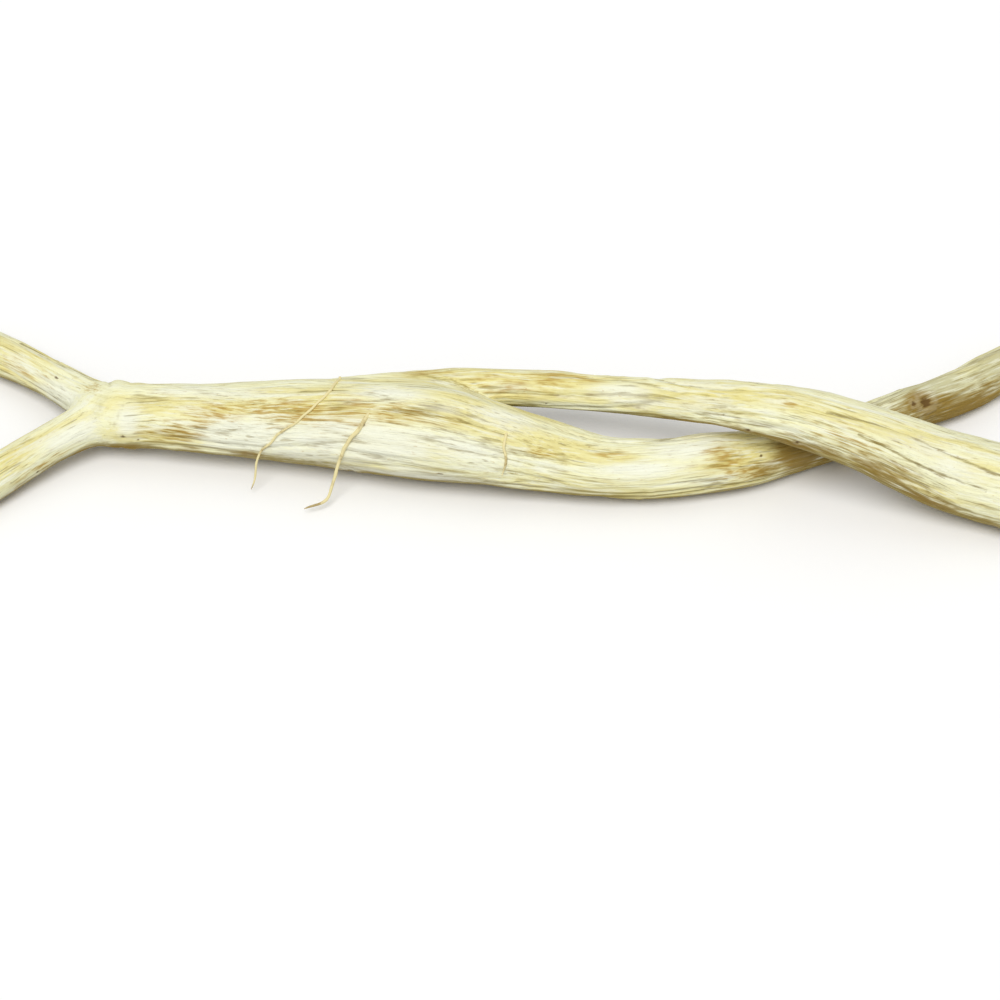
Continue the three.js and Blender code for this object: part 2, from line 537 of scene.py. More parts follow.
class StageSettings(bpy.types.PropertyGroup):
    """Floor, light and camera."""

    floor_size: length_property("Floor Size", "Length of each side of the floor", 8.0, 1.0)
    sky_strength: brightness_property(
        "Sky Strength", "Brightness of the even light from all round", 0.54
    )
    key_strength: brightness_property("Key Strength", "Brightness of the soft key light", 1.72)
    key_softness: angle_property(
        "Key Softness", "Angle across the key light as the root sees it", 35, high=180
    )
    key_height: angle_property("Key Height", "Angle of the key light above the floor", 62)
    key_turn: angle_property(
        "Key Turn",
        "Angle of the key light round the root, from its front towards its thin end",
        -12,
        low=-180,
        high=180,
    )
    floor_albedo: FloatProperty(
        name="Floor Albedo",
        description="Share of the light that the floor sends back up to the root",
        default=0.72,
        min=0,
        max=1,
        subtype="FACTOR",
    )
    camera_height: angle_property("Camera Height", "Angle of the camera above the floor", 45)
    camera_distance: length_property(
        "Camera Distance", "Distance from the camera to the spot that it looks at", 0.889, 0.1
    )
    camera_aim: length_property(
        "Camera Aim", "How far in front of the middle of the root the camera looks", 27 * MM, -1.0
    )
    lens: FloatProperty(
        name="Lens",
        description="Focal length of the camera",
        default=100,
        min=10,
        unit="CAMERA",
    )


# ---- Working with arrays of points ----


def unit(vectors):
    return vectors / np.linalg.norm(vectors, axis=-1, keepdims=True)


def dot(first, second):
    return (first * second).sum(axis=-1)


def between(first, second, share):
    """The value that lies that share of the way from the first to the second."""
    return first + (second - first) * share


def smoothstep(low, high, values):
    share = np.clip((values - low) / (high - low), 0, 1)
    return share * share * (3 - 2 * share)


def bell(values):
    """1 at zero, falling off to nothing on both sides."""
    return np.exp(-(values**2))


def along_columns(at, known, values):
    """Each column of the values, which are known at some distances, read at others."""
    return np.stack([np.interp(at, known, column) for column in values.T], axis=1)


def smooth_line(stations, step):
    """A Catmull-Rom curve through the stations at even steps, and the distance along it."""
    stations = np.array(stations, float)
    before = 2 * stations[0] - stations[1]
    after = 2 * stations[-1] - stations[-2]
    knots = np.vstack([before, stations, after])
    t = np.linspace(0, 1, SPAN_SAMPLES, endpoint=False)[:, None]
    spans = []
    for a, b, c, d in zip(knots, knots[1:], knots[2:], knots[3:]):
        square = 2 * a - 5 * b + 4 * c - d
        cube = 3 * b - a - 3 * c + d
        spans.append(0.5 * (2 * b + (c - a) * t + square * t**2 + cube * t**3))
    fine = np.vstack([*spans, stations[-1:]])
    steps = np.linalg.norm(np.diff(fine[:, :3], axis=0), axis=1)
    travelled = np.concatenate([[0], np.cumsum(steps)])
    along = np.linspace(0, travelled[-1], round(travelled[-1] / step) + 1)
    return along_columns(along, travelled, fine), along


def gradient_noise(points, seed):
    """Smooth noise from about -1 to 1, one value for each point in space."""
    random = np.random.default_rng(seed)
    shuffle = random.permutation(NOISE_CELLS)
    slopes = unit(random.normal(size=(NOISE_CELLS, 3)))
    last = NOISE_CELLS - 1
    cell = np.floor(points).astype(int)
    within = points - cell
    ease = within**3 * (within * (within * 6 - 15) + 10)
    total = np.zeros(len(points))
    for corner in itertools.product((0, 1), repeat=3):
        x, y, z = (cell + corner).T & last
        slope = slopes[shuffle[(shuffle[(shuffle[x] + y) & last] + z) & last]]
        weight = np.where(corner, ease, 1 - ease).prod(axis=1)
        total += weight * dot(slope, within - corner)
    return total * NOISE_GAIN


def pattern_on(grain, name):
    """One of the bark's patterns, at places along and across the grain."""
    along, across, seed = PATTERNS[name]
    return gradient_noise(grain / np.array([along, across, across]), seed)


# ---- Making meshes ----


def mesh_from(name, points, faces):
    mesh = bpy.data.meshes.new(name)
    mesh.from_pydata(points.tolist(), [], faces)
    return mesh


def tube_faces(rings, sides):
    """Faces of a closed tube: quads between its rings, then fans to a vertex at each end."""
    here = np.arange(sides)
    following = (here + 1) % sides
    start = np.arange(rings - 1)[:, None] * sides
    ahead = start + sides
    quads = np.stack([start + here, ahead + here, ahead + following, start + following], axis=-1)
    first_pole = rings * sides
    last_ring = first_pole - sides
    pairs = list(zip(here.tolist(), following.tolist()))
    first_fan = [(first_pole, a, b) for a, b in pairs]
    last_fan = [(first_pole + 1, last_ring + b, last_ring + a) for a, b in pairs]
    return quads.reshape(-1, 4).tolist() + first_fan + last_fan


def tube_mesh(name, centres, radii, outsides, tops, sides, scale=1.0):
    """A closed tube. Each ring has its centre, its radius and the two directions that it turns
    between."""
    turn = np.linspace(0, 2 * math.pi, sides, endpoint=False)[None, :, None]
    outward = np.cos(turn) * outsides[:, None] + np.sin(turn) * tops[:, None]
    skin = centres[:, None] + radii[:, None, None] * outward
    points = np.vstack([skin.reshape(-1, 3), centres[:1], centres[-1:]])
    return mesh_from(name, points * scale, tube_faces(len(centres), sides))


# ---- The limbs ----


@dataclass
class Place:
    """Where points lie on a limb: along it, off its centre line, and above its plain surface."""

    along: np.ndarray
    side: np.ndarray
    top: np.ndarray
    outward: np.ndarray
    height: np.ndarray
    radius: np.ndarray


def chosen_place(first, second, take_first):
    """The first place where take_first holds, and the second elsewhere."""
    fields = []
    for a, b in zip(vars(first).values(), vars(second).values()):
        fields.append(np.where(take_first[:, None] if a.ndim == 2 else take_first, a, b))
    return Place(*fields)


class Limb:
    """A tapering limb: its centre line, the radius along it, and a frame that turns with it."""

    def __init__(self, stations, sides, cut_start):
        samples, self.along = smooth_line(stations, SAMPLE_STEP)
        self.centres = samples[:, :3]
        self.radii = samples[:, 3]
        self.tangents = unit(np.gradient(self.centres, self.along, axis=0))
        self.bends = np.gradient(self.tangents, self.along, axis=0)
        self.outsides = unit(np.cross(self.tangents, UP))
        self.tops = np.cross(self.outsides, self.tangents)
        self.length = self.along[-1]
        self.sides = sides
        self.cut_start = cut_start

    def nearest(self, points):
        """The sample nearest to each point."""
        squares = (self.centres**2).sum(axis=1)
        blocks = np.array_split(points, len(points) // SEARCH_BLOCK + 1)
        found = [np.argmin(squares - 2 * block @ self.centres.T, axis=1) for block in blocks]
        return np.concatenate(found)

    def locate(self, points):
        """The place of each point. A limb that starts inside another is round there."""
        found = self.nearest(points)
        away = points - self.centres[found]
        step = dot(away, self.tangents[found]) / (1 - dot(away, self.bends[found]))
        if not self.cut_start:
            step = np.maximum(step, -self.along[found])
        away -= step[:, None] * self.tangents[found]
        distance = np.linalg.norm(away, axis=1)
        along = self.along[found] + step
        radius = np.interp(along, self.along, self.radii)
        side = dot(away, self.outsides[found])
        top = dot(away, self.tops[found])
        outward = away / np.maximum(distance, TINY)[:, None]
        return Place(along, side, top, outward, distance - radius, radius)

    def sample_at(self, x):
        return int(np.argmin(np.abs(self.centres[:, 0] - x)))

    def surface_point(self, x, angle):
        """The point on the plain surface at x and at that angle round the limb, in degrees."""
        i = self.sample_at(x)
        turn = math.radians(angle)
        outward = math.cos(turn) * self.outsides[i] + math.sin(turn) * self.tops[i]
        return self.centres[i] + self.radii[i] * outward

    def tips(self):
        """The centre, outward axis and radius of each cut tip."""
        found = [(self.centres[-1], self.tangents[-1], self.radii[-1])]
        if self.cut_start:
            found.append((self.centres[0], -self.tangents[0], self.radii[0]))
        return found

    def rings(self, edge):
        """The distance along the limb and the radius of each ring of the tube."""
        count = round(self.length / RING_STEP)
        along = np.linspace(0, self.length, count + 1)[:-1]
        radius = np.interp(along, self.along, self.radii)
        turn = np.linspace(0, math.pi / 2, EDGE_RINGS)
        face = np.linspace(1, 0, FACE_RINGS, endpoint=False)[1:]
        drop = np.concatenate([edge * (1 - np.sin(turn)), np.zeros(len(face))])
        share = np.concatenate([np.ones(len(turn)), face])
        slack = np.concatenate([edge * (1 - np.cos(turn)), np.full(len(face), edge)])
        if self.cut_start:
            along = np.concatenate([drop[::-1], along[1:]])
            radius = np.concatenate([((self.radii[0] - slack) * share)[::-1], radius[1:]])
        along = np.concatenate([along, self.length - drop])
        return along, np.concatenate([radius, (self.radii[-1] - slack) * share])

    def tube(self, edge):
        """The limb as a closed mesh, in millimetres."""
        along, radii = self.rings(edge)
        centres, outsides, tops = [
            along_columns(along, self.along, field)
            for field in (self.centres, self.outsides, self.tops)
        ]
        return tube_mesh("limb", centres, radii, outsides, tops, self.sides)


# ---- The skin of the whole root ----


def joined_mesh(limbs, edge):
    """One closed mesh of all the limbs, in millimetres."""
    objects = []
    for name, limb in limbs.items():
        tube = bpy.data.objects.new(name, limb.tube(edge))
        bpy.context.scene.collection.objects.link(tube)
        objects.append(tube)
    whole, *others = objects
    for other in others:
        join = whole.modifiers.new("join", "BOOLEAN")
        join.operation = "UNION"
        join.solver = "MANIFOLD"
        join.object = other
    depsgraph = bpy.context.evaluated_depsgraph_get()
    mesh = bpy.data.meshes.new_from_object(whole.evaluated_get(depsgraph))
    mesh.materials.clear()
    for made in objects:
        bpy.data.objects.remove(made)
    return mesh


def at_junctions(x):
    """Whether x is near the fork or near the root of the branch."""
    at_fork = (x > FORK_ZONE[0]) & (x < FORK_ZONE[1])
    at_branch = (x > BRANCH_ZONE[0]) & (x < BRANCH_ZONE[1])
    return at_fork | at_branch


def tidied_mesh(mesh):
    """The mesh with the slivers that joining left at the junctions closed up."""
    work = bmesh.new()
    work.from_mesh(mesh)
    near = [edge for edge in work.edges if at_junctions(edge.verts[0].co.x)]
    bmesh.ops.dissolve_degenerate(work, edges=near, dist=SLIVER)
    work.to_mesh(mesh)
    work.free()
    return mesh


class Skin:
    """The surface of the whole root while it is being shaped, in millimetres."""

    def __init__(self, mesh, limbs, settings):
        self.mesh = mesh
        self.limbs = limbs
        self.settings = settings
        self.points = np.empty(len(mesh.vertices) * 3, np.float32)
        mesh.vertices.foreach_get("co", self.points)
        self.points = self.points.reshape(-1, 3).astype(float)
        self.edges = np.empty(len(mesh.edges) * 2, np.int32)
        mesh.edges.foreach_get("vertices", self.edges)
        self.edges = self.edges.reshape(-1, 2)
        self.paint = {}
        self.locate()

    def locate(self):
        """Finds where each point lies on the spine and on the limb grafted to it there, and how
        much of it belongs to that limb."""
        x = self.points[:, 0]
        at_fork = x < FORK_END
        self.spine = self.limbs["spine"].locate(self.points)
        arm = self.limbs["arm"].locate(self.points)
        branch = self.limbs["branch"].locate(self.points)
        self.other = chosen_place(arm, branch, at_fork)
        fading = smoothstep(*CROTCH_FADE, x)
        branch_width = between(self.settings.branch_rounding / MM, CROTCH_ROUNDING, fading)
        width = np.where(at_fork, self.settings.fork_rounding / MM, branch_width)
        lead = (self.spine.height - self.other.height) / width
        self.graft = np.clip(0.5 + 0.5 * lead, 0, 1)
        self.blend = self.graft * (1 - self.graft)
        self.height = self.of_limbs("height") - width * self.blend
        start = np.where(at_fork, ARM_GRAIN_START, BRANCH_GRAIN_START)
        self.spine_grain = np.stack([self.spine.along, self.spine.side, self.spine.top], axis=1)
        self.graft_grain = np.stack(
            [self.other.along + start, self.other.side, self.other.top], axis=1
        )
        self.outward = unit(between(self.spine.outward, self.other.outward, self.graft[:, None]))

    def of_limbs(self, name):
        """A field of the places on the spine, which passes to that on the grafted limb."""
        return between(getattr(self.spine, name), getattr(self.other, name), self.graft)

    def round_junctions(self):
        """Moves the skin near the fork and the root of the branch onto their rounded surface."""
        near = at_junctions(self.points[:, 0])
        seam = near & (self.blend > SEAM_BLEND)
        for _ in range(ROUNDING_PASSES):
            self.relax(seam)
            self.locate()
            self.points -= np.where(near, self.height, 0)[:, None] * self.outward
        self.locate()

    def relax(self, chosen):
        """Moves the chosen points to the middle of their neighbours."""
        first, second = self.edges.T
        count = len(self.points)
        neighbours = np.bincount(first, minlength=count) + np.bincount(second, minlength=count)
        total = [
            np.bincount(first, column[second], count) + np.bincount(second, column[first], count)
            for column in self.points.T
        ]
        middle = np.stack(total, axis=1) / np.maximum(neighbours, 1)[:, None]
        self.points[chosen] = middle[chosen]

    def of_both(self, measure):
        """A measure taken along the grain of the spine and of the grafted limb, and blended."""
        return between(measure(self.spine_grain), measure(self.graft_grain), self.graft)

    def pattern(self, name):
        return self.of_both(lambda grain: pattern_on(grain, name))

    def wander(self):
        """Bends the grain a little, so that no furrow runs straight."""
        for grain in (self.spine_grain, self.graft_grain):
            grain[:, 1] += WANDER_REACH * pattern_on(grain, "wander sideways")
            grain[:, 2] += WANDER_REACH * pattern_on(grain, "wander upwards")

    def find_cut_faces(self):
        """Marks the cut tips, and finds how far each point is from the middle of its limb."""
        cut = np.zeros(len(self.points))
        self.face_axis = np.zeros_like(self.points)
        for limb in self.limbs.values():
            for centre, axis, radius in limb.tips():
                away = self.points - centre
                near = np.linalg.norm(away, axis=1) < CUT_REACH * radius
                cut = np.maximum(cut, near * smoothstep(*CUT_START, away @ axis))
                self.face_axis[near] = axis
        self.ripeness = np.clip(1 + self.of_limbs("height") / self.of_limbs("radius"), 0, 1)
        self.paint["cut"] = cut
        self.paint["ripeness"] = self.ripeness

    def raise_bark(self):
        """Gives the skin its lumps, furrows, wrinkles and short ridges."""
        settings = self.settings
        cover = smoothstep(*FURROW_COVER, self.pattern("furrow cover"))
        valley = np.clip(1 - np.abs(self.pattern("furrows")) / FURROW_WIDTH, 0, 1) * cover
        knuckle_cover = smoothstep(*KNUCKLE_COVER, self.pattern("knuckle cover"))
        knuckles = smoothstep(*KNUCKLE_RISE, self.pattern("knuckles")) * knuckle_cover
        collar = np.linalg.norm(self.points - COLLAR_CENTRE, axis=1) / COLLAR_REACH
        height = (
            settings.lump_height * self.pattern("lumps")
            - settings.furrow_depth * smoothstep(0, 1, valley)
            + settings.wrinkle_height * self.pattern("wrinkles")
            + settings.knuckle_height * knuckles
            + settings.collar_swelling * np.exp(-(collar**4))
            + settings.collar_ridges * self.collar_rings()
        ) / MM
        self.points += (height * self.ripeness)[:, None] * self.outward
        self.paint["furrow"] = valley
        x = self.points[:, 0]
        branch_crease = BRANCH_CREASE * smoothstep(*BRANCH_CREASE_START, x)
        self.paint["crease"] = self.blend * np.where(x < FORK_END, FORK_CREASE, branch_crease)

    def collar_rings(self):
        """Ridges, from -1 to 1, that ring the collar like old folds of the bark."""
        away = np.linalg.norm(self.points[:, :2] - CROTCH, axis=1)
        away += COLLAR_RING_WANDER * self.pattern("ring wander")
        ridges = 0
        folds = 0
        for ring in COLLAR_RINGS:
            ridges = ridges + bell((away - ring) / COLLAR_RING_WIDTH)
            fold = away - ring + COLLAR_RING_WIDTH + COLLAR_FOLD_WIDTH
            folds = folds + bell(fold / COLLAR_FOLD_WIDTH)
        fading = smoothstep(*COLLAR_RING_FADE, self.points[:, 0])
        cover = smoothstep(*RING_COVER, self.pattern("ring cover"))
        fading *= between(COLLAR_RING_FAINTEST, 1, cover)
        self.paint["fold"] = folds * fading
        return (ridges - folds) * fading

    def roughen_cut_faces(self):
        """Gives each cut tip its sunken core and the rays of the wood."""
        rays = self.of_both(lambda grain: gradient_noise(self.ray_place(grain), RAY_SEED))
        height = (
            RAY_HEIGHT * rays * self.ripeness
            + CUT_GRAIN_HEIGHT * self.pattern("cut grain")
            - CORE_DEPTH * smoothstep(*CORE_EDGE, self.ripeness)
        )
        self.points += (self.paint["cut"] * height)[:, None] * self.face_axis

    def ray_place(self, grain):
        outwards, around = RAY_SPREAD
        across = grain[:, 1:] / np.maximum(np.linalg.norm(grain[:, 1:], axis=1), TINY)[:, None]
        return np.column_stack([self.ripeness * outwards, across * around])

    def weight_of(self, limb, x, angle, length, width):
        """How much a mark covers each point: 1 in its middle, fading over its length and width."""
        away = self.points - limb.surface_point(x, angle)
        tangent = limb.tangents[limb.sample_at(x)]
        forward = away @ tangent
        across = np.linalg.norm(away - forward[:, None] * tangent, axis=1)
        return np.exp(-((forward / length) ** 2) - (across / width) ** 2)

    def paint_patches(self, name, patches):
        cover = np.zeros(len(self.points))
        for limb_name, marks in patches.items():
            for x, angle, length, width, strength in marks:
                weight = self.weight_of(self.limbs[limb_name], x, angle, length, width)
                cover = np.maximum(cover, strength * weight)
        self.paint[name] = cover

    def scatter_scars(self):
        """Small scars at random places all over the limbs, after the ones that have a place."""
        random = np.random.default_rng(self.settings.seed)
        scattered = {name: list(SCARS.get(name, [])) for name in self.limbs}
        for name, limb in self.limbs.items():
            for _ in range(round(limb.length / SCAR_SPACING)):
                x = limb.centres[random.integers(len(limb.centres)), 0]
                angle = random.uniform(0, 360)
                scattered[name].append((x, angle, random.uniform(*SCAR_RADII)))
        return scattered

    def cut_scars(self):
        """Presses each scar into the skin and raises a rim round it."""
        pits = np.zeros(len(self.points))
        rims = np.zeros(len(self.points))
        ragged = 1 + SCAR_RAGGEDNESS * self.pattern("ragged scars")
        for name, scars in self.scatter_scars().items():
            for x, angle, radius in scars:
                away = self.points - self.limbs[name].surface_point(x, angle)
                share = np.linalg.norm(away, axis=1) / radius * ragged
                pit = bell(share / SCAR_PIT)
                rim = bell((share - SCAR_RIM) / SCAR_RIM_WIDTH)
                pits = np.maximum(pits, pit)
                rims = np.maximum(rims, rim)
                height = radius * (SCAR_RIM_HEIGHT * rim - SCAR_DEPTH * pit)
                self.points += height[:, None] * self.outward
        self.paint["scar"] = pits
        self.paint["rim"] = rims

    def cut_cracks(self):
        """Presses the cracks into the skin."""
        nearest = np.full(len(self.points), np.inf)
        for name, cracks in CRACKS.items():
            for crack in cracks:
                corners = [self.limbs[name].surface_point(x, angle) for x, angle in crack]
                line, _ = smooth_line(corners, CRACK_STEP)
                for point in line:
                    nearest = np.minimum(nearest, np.linalg.norm(self.points - point, axis=1))
        crack = bell(nearest / CRACK_WIDTH)
        self.points -= (CRACK_DEPTH * crack)[:, None] * self.outward
        self.paint["crack"] = crack

    def shift_to_frame(self):
        """How far the skin moves so that it stands in the middle of the CAD root's box."""
        low = np.array(CAD_BOX[0]) / MM
        high = np.array(CAD_BOX[1]) / MM
        middle = (self.points.min(axis=0) + self.points.max(axis=0)) / 2
        shift = (low + high) / 2 - middle
        shift[2] = 0
        return shift

    def write(self, shift):
        """Puts the shaped points and the paint into the mesh, in metres."""
        places = self.points + shift
        places[:, 2] = np.maximum(places[:, 2], 0)
        self.mesh.vertices.foreach_set("co", (places * MM).astype(np.float32).ravel())
        for name, values in self.paint.items():
            layer = self.mesh.attributes.new(name, "FLOAT", "POINT")
            layer.data.foreach_set("value", values.astype(np.float32))
        for name in ("spine_grain", "graft_grain"):
            layer = self.mesh.attributes.new(name, "FLOAT_VECTOR", "POINT")
            layer.data.foreach_set("vector", getattr(self, name).astype(np.float32).ravel())
        self.mesh.shade_smooth()
        self.mesh.update()


def bark_mesh(settings):
    """The whole root's skin. The plain limbs give its place in the frame, before the bark is
    raised."""
    limbs = {name: Limb(*shape) for name, shape in LIMBS.items()}
    skin = Skin(tidied_mesh(joined_mesh(limbs, settings.cut_edge / MM)), limbs, settings)
    shift = skin.shift_to_frame()
    skin.round_junctions()
    skin.wander()
    skin.find_cut_faces()
    skin.raise_bark()
    skin.cut_scars()
    skin.cut_cracks()
    skin.roughen_cut_faces()
    for name, patches in PATCHES.items():
        skin.paint_patches(name, patches)
    skin.paint["graft"] = skin.graft
    skin.write(shift)
    return skin.mesh


# ---- Materials ----


class Signal:
    """A value in a material. Arithmetic on it adds Math nodes."""

    def __init__(self, shader, socket):
        self.shader = shader
        self.socket = socket

    def __add__(self, other):
        return self.shader.math("ADD", self, other)

    def __radd__(self, other):
        return self.shader.math("ADD", other, self)

    def __sub__(self, other):
        return self.shader.math("SUBTRACT", self, other)

    def __rsub__(self, other):
        return self.shader.math("SUBTRACT", other, self)

    def __mul__(self, other):
        return self.shader.math("MULTIPLY", self, other)

    def __rmul__(self, other):
        return self.shader.math("MULTIPLY", other, self)

    def __abs__(self):
        return self.shader.math("ABSOLUTE", self, 0)


class Shader:
    """The nodes of one material, or of the world."""

    def __init__(self, owner, surface="Principled BSDF"):
        self.owner = owner
        self.owner.use_nodes = True
        self.tree = owner.node_tree
        self.surface = self.tree.nodes[surface]

    def feed(self, socket, value):
        if isinstance(value, Signal):
            self.tree.links.new(value.socket, socket)
        elif socket.type == "RGBA":
            socket.default_value = (*value, 1)
        else:
            socket.default_value = value

    def node(self, kind, settings, inputs, output=0):
        """Adds a node: its settings come first, then the values and links of its sockets."""
        made = self.tree.nodes.new(kind)
        for name, value in settings.items():
            setattr(made, name, value)
        for name, value in inputs.items():
            self.feed(made.inputs[name], value)
        return Signal(self, made.outputs[output])

    def math(self, operation, first, second):
        return self.node("ShaderNodeMath", {"operation": operation}, {0: first, 1: second})

    def vector(self, operation, first, second=(0, 0, 0)):
        return self.node("ShaderNodeVectorMath", {"operation": operation}, {0: first, 1: second})

    def attribute(self, name, output):
        return self.node("ShaderNodeAttribute", {"attribute_name": name}, {}, output)

    def smooth(self, value, low, high):
        """From 0 to 1 as the value goes from low to high, with soft ends."""
        return self.node(
            "ShaderNodeMapRange",
            {"interpolation_type": "SMOOTHSTEP"},
            {"Value": value, "From Min": low, "From Max": high},
        )

    def mix(self, share, first, second):
        """The colour that lies that share of the way from the first to the second."""
        inputs = {MIX_SHARE: share, MIX_FIRST: first, MIX_SECOND: second}
        return self.node("ShaderNodeMix", {"data_type": "RGBA"}, inputs, MIX_RESULT)

    def noise(self, place, size, detail):
        """Noise from 0 to 1 whose cells have that size along each axis of the place."""
        scaled = self.vector("MULTIPLY", place, [1 / side for side in size])
        return self.node(
            "ShaderNodeTexNoise", {}, {"Vector": scaled, "Scale": 1.0, "Detail": detail}
        )

    def seen_directly(self):
        """1 where the camera sees a surface, straight on or in a mirror, and 0 elsewhere."""
        rays = ("Is Camera Ray", "Is Glossy Ray", "Is Transmission Ray")
        return sum(self.node("ShaderNodeLightPath", {}, {}, ray) for ray in rays)

    def finish(self, colour, roughness, height, relief):
        """Links what varies to the surface, with a bump of that relief in metres."""
        bump = self.node("ShaderNodeBump", {}, {"Height": height, "Distance": relief})
        self.feed(self.surface.inputs["Base Color"], colour)
        self.feed(self.surface.inputs["Roughness"], roughness)
        self.feed(self.surface.inputs["Normal"], bump)
        return self.owner


class GrainShader(Shader):
    """A material whose pattern runs along the grain of the limbs."""

    def __init__(self, owner):
        super().__init__(owner)
        self.spine_grain = self.attribute("spine_grain", "Vector")
        self.graft_grain = self.attribute("graft_grain", "Vector")
        self.graft = self.painted("graft")

    def painted(self, name):
        return self.attribute(name, "Fac")

    def of_both(self, pattern):
        """A pattern on the grain of the spine, which passes to that of the grafted limb."""
        on_spine = pattern(self.spine_grain)
        on_graft = pattern(self.graft_grain)
        return on_spine + (on_graft - on_spine) * self.graft

    def streaks(self, length, width, detail):
        """Noise from 0 to 1, of that length along the grain and that width across it, in
        millimetres."""
        size = (length, width, width)
        return self.of_both(lambda grain: self.noise(grain, size, detail))

    def rays(self, width, detail):
        """Noise from 0 to 1 that runs outwards from the middle of a cut tip. The width of a ray
        is given where it is one radian long."""

        def ray_noise(grain):
            across = self.vector("MULTIPLY", grain, (0, 1, 1))
            return self.noise(self.vector("NORMALIZE", across), [width] * 3, detail)

        return self.of_both(ray_noise)

    def facing_up(self):
        """From 1 on the top of the root to -1 on its underside."""
        normal = self.node("ShaderNodeNewGeometry", {}, {}, "Normal")
        return self.node("ShaderNodeSeparateXYZ", {}, {0: normal}, "Z")

    def layered(self, colour, layers):
        """The colour once each layer has been laid over it. A layer is a colour, where it lies
        and how strongly it covers there."""
        for over, where, strength in layers:
            colour = self.mix(where * strength, colour, over)
        return colour


def bark_material(look):
    """Cream bark under its streaks, stains, soil, painted shade and painted highlights, with the
    cut tips on top.
    """
    shader = GrainShader(bpy.data.materials.new("astragalus_bark"))
    smooth = shader.smooth
    painted = shader.painted
    broad = shader.streaks(45, 7, 2)
    band = shader.streaks(26, 2.4, 3)
    line = shader.streaks(11, 0.8, 3)
    fibre = shader.streaks(7, 0.4, 2)
    mottle = shader.streaks(4, 1.2, 3)
    hairline = shader.streaks(30, 0.8, 1)
    dash = shader.streaks(2.4, 0.6, 2)
    fray = 0.8 * (line - 0.5) + 0.6 * (mottle - 0.5) + 0.7 * (fibre - 0.5)

    def cover(name, low=0.12, high=0.9):
        """What is painted under that name, from 0 to 1, with its soft edge frayed."""
        return smooth(painted(name) + fray, low, high)

    # Painted shade: the bark turns darker and browner as it faces down.
    painted_underside_shade = smooth(shader.facing_up() - 0.6 * (line - 0.5), 0.04, -0.55)
    freckled = smooth(mottle, 0.58, 0.72) * smooth(broad, 0.46, 0.58)
    wrinkled = smooth(hairline, 0.63, 0.72) * smooth(band, 0.4, 0.55)
    stained = cover("stain")
    # Soil stains and painted shade, from the brown patches.
    soil_and_painted_shade = cover("soil")
    clean_and_unshaded = 1 - 0.8 * painted_underside_shade - 0.9 * soil_and_painted_shade
    layers = [
        (look.straw, smooth(broad, 0.44, 0.64), 0.75),
        (look.straw, cover("golden"), 0.8),
        (look.tan, smooth(band, 0.53, 0.7), 0.25),
        (look.chalk, smooth(band, 0.5, 0.36), 0.55),
        (look.dull, cover("dull"), 0.85),
        (look.painted_underside_shade, painted_underside_shade, 0.9),
        (look.tan, smooth(line, 0.54, 0.68), 0.25),
        (look.tan, smooth(fibre, 0.56, 0.7), 0.2),
        (look.tan, freckled, 0.3),
        (look.chalk, cover("scuff"), 0.8),
        (look.tan, stained, 0.6),
        (look.rust, stained * smooth(line + fibre, 0.92, 1.16), 0.75),
        (look.soil, soil_and_painted_shade, 0.92),
        (look.chalk, smooth(line, 0.45, 0.33) * clean_and_unshaded, 0.5),
        (look.painted_underside_shade, wrinkled, 0.45),
        (look.ochre, cover("furrow", 0.6, 1.1), 0.5),
        (look.ochre, cover("fold", 0.3, 1.2), 0.5),
        (look.ochre, cover("crease", 0.8, 1.15), 0.5),
        (look.rust, smooth(dash, 0.67, 0.75), 0.4),
        (look.chalk, painted("rim"), 0.15),
        (look.umber, cover("scar", 0.25, 0.7), 0.85),
        (look.ochre, cover("crack", 0.45, 0.95), 0.75),
        (cut_colour(shader, look), painted("cut"), 1),
    ]
    relief = line + 0.5 * fibre + 0.5 * dash + 0.4 * mottle - 0.3 * wrinkled
    shader.surface.inputs["Specular IOR Level"].default_value = 0.3
    return shader.finish(shader.layered(look.cream, layers), 0.62 + 0.3 * line, relief, 0.45 * MM)


def cut_colour(shader, look):
    """Pale rind, dark growing layer and yellow rayed wood, from the rim of a cut tip inwards."""
    smooth = shader.smooth
    ray = shader.rays(0.09, 2)
    split = shader.rays(0.5, 1)
    grit = shader.streaks(1, 0.5, 2)
    reach = shader.painted("ripeness") + 0.3 * (ray - 0.5) + 0.2 * (split - 0.5)
    ring = smooth(reach, 0.56, 0.66) * smooth(reach, 0.78, 0.68)
    core = smooth(reach, 0.72, 0.64)
    off_middle = smooth(reach, 0.1, 0.35)
    crack = smooth(abs(split - 0.5), 0.016, 0.004) * smooth(reach, 0.86, 0.7)
    layers = [
        (look.straw, smooth(grit, 0.42, 0.62), 0.5),
        (look.wood, core, 1),
        (look.cream, smooth(ray, 0.48, 0.36) * core, 0.55),
        (look.tan, smooth(ray, 0.5, 0.62) * off_middle, 0.6),
        (look.rust, ring, 0.65),
        (look.ochre, smooth(reach, 0.16, 0.05), 0.6),
        (look.tan, smooth(reach, 0.9, 0.99), 0.6),
        (look.umber, crack * off_middle, 0.7),
        (look.rust, smooth(grit, 0.6, 0.72), 0.35),
    ]
    return shader.layered(look.cream, layers)


def hair_material(look):
    """Pale bark with soiled stretches."""
    shader = Shader(bpy.data.materials.new("hair_root_bark"))
    place = shader.node("ShaderNodeTexCoord", {}, {}, "Object")
    patch = shader.noise(place, [6 * MM] * 3, 2)
    grit = shader.noise(place, [0.8 * MM] * 3, 2)
    soil = shader.smooth(patch + 0.3 * grit, 0.62, 0.85)
    colour = shader.mix(soil * 0.75, look.pale, look.dark)
    return shader.finish(colour, 0.7 + 0.15 * grit, grit, 0.1 * MM)


# ---- Hair roots ----


